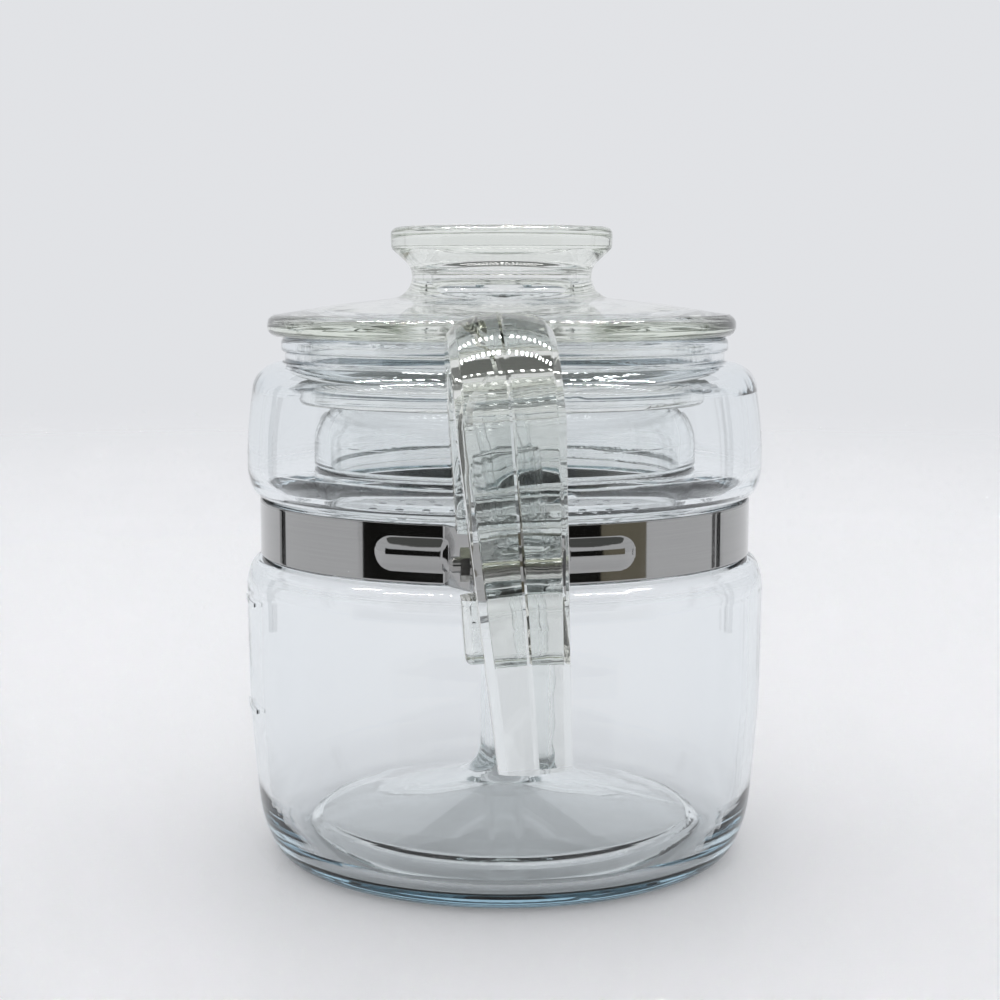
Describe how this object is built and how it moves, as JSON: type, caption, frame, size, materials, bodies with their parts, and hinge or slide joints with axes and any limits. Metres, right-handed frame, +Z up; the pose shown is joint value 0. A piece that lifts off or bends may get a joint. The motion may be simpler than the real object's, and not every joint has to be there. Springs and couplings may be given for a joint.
{
  "type": "stove-top coffee percolator",
  "caption": "Clear glass stove-top percolator: waisted pot with steel clamp band and hooked glass handle, hollow-knob lid, stemmed bell pump, perforated basket and domed basket lid.",
  "frame": {"origin": "centre of the flat face the pot stands on, on the pot's axis", "axes": "+Z up along the pot's axis, -Y towards the handle, +Y towards the pour lip"},
  "size_m": [0.1279, 0.1853, 0.1544],
  "materials": {
    "pot_glass": "clear fire-polished borosilicate glass, faint blue in its thick heel",
    "lid_glass": "clear pressed glass, faint yellow-green at its edge",
    "handle_glass": "clear moulded glass with a mould seam",
    "insert_glass": "clear thin glass",
    "band_steel": "polished stainless steel strip with fine lengthwise rolling lines",
    "screw_steel": "polished steel"
  },
  "bodies": {
    "pot_and_handle": {"pot": "pot_glass", "clamp_band": "band_steel", "handle": "handle_glass", "clamp_screw": "screw_steel", "clamp_nut": "screw_steel", "clamp_washers": "screw_steel"},
    "lid": {"lid": "lid_glass"},
    "pump": {"pump": "insert_glass"},
    "basket": {"basket": "insert_glass"},
    "basket_lid": {"basket_lid": "insert_glass"}
  },
  "joints": [
    {"name": "lid_lift", "type": "slide", "parent": "pot_and_handle", "child": "lid", "axis": [0, 0, 1], "range_m": [0, 0.21]},
    {"name": "pump_lift", "type": "slide", "parent": "pot_and_handle", "child": "pump", "axis": [0, 0, 1], "range_m": [0, 0.13]},
    {"name": "basket_lift", "type": "slide", "parent": "pump", "child": "basket", "axis": [0, 0, 1], "range_m": [0, 0.05]},
    {"name": "basket_lid_lift", "type": "slide", "parent": "basket", "child": "basket_lid", "axis": [0, 0, 1], "range_m": [0, 0.016]}
  ],
  "couplings": [
    {"joint": "pump_lift", "follows": "lid_lift", "ratio": 0.619},
    {"joint": "basket_lift", "follows": "lid_lift", "ratio": 0.238},
    {"joint": "basket_lid_lift", "follows": "lid_lift", "ratio": 0.076}
  ]
}
